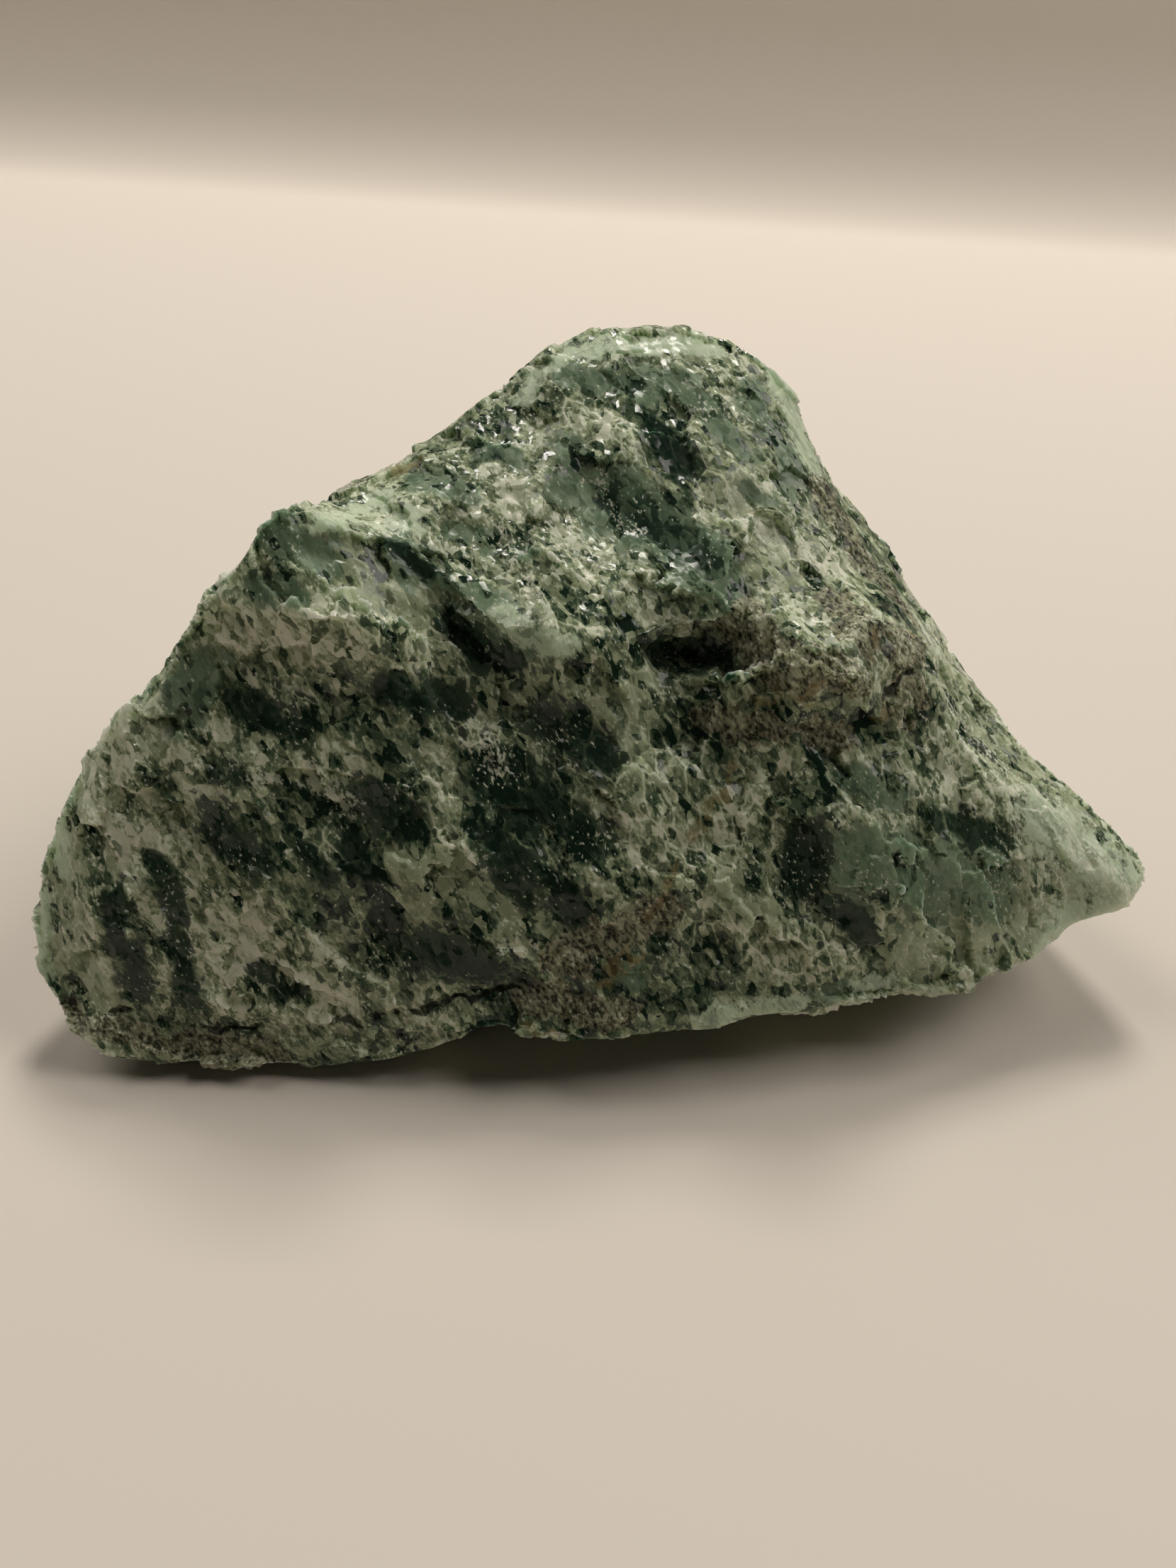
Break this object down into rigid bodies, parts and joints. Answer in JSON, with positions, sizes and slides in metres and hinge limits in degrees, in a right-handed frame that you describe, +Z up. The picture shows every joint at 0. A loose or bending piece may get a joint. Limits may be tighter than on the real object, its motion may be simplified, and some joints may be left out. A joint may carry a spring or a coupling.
{
  "type": "fluorite specimen",
  "caption": "Rough green fluorite hand specimen: a broken wedge of massive, cleaved crystal with frosted and glassy patches, an earthy crust and a flat face to rest on.",
  "frame": {"origin": "on the resting plane, under the middle of the bounding box", "axes": "+X along the longest extent, towards the thin tip; -Y towards the viewer of the front face; +Z up"},
  "size_m": [0.105, 0.0686, 0.0556],
  "materials": {
    "fluorite": "broken cleavage, part glassy and part frosted"
  },
  "bodies": {
    "root": {"fluorite": "fluorite"}
  },
  "joints": []
}
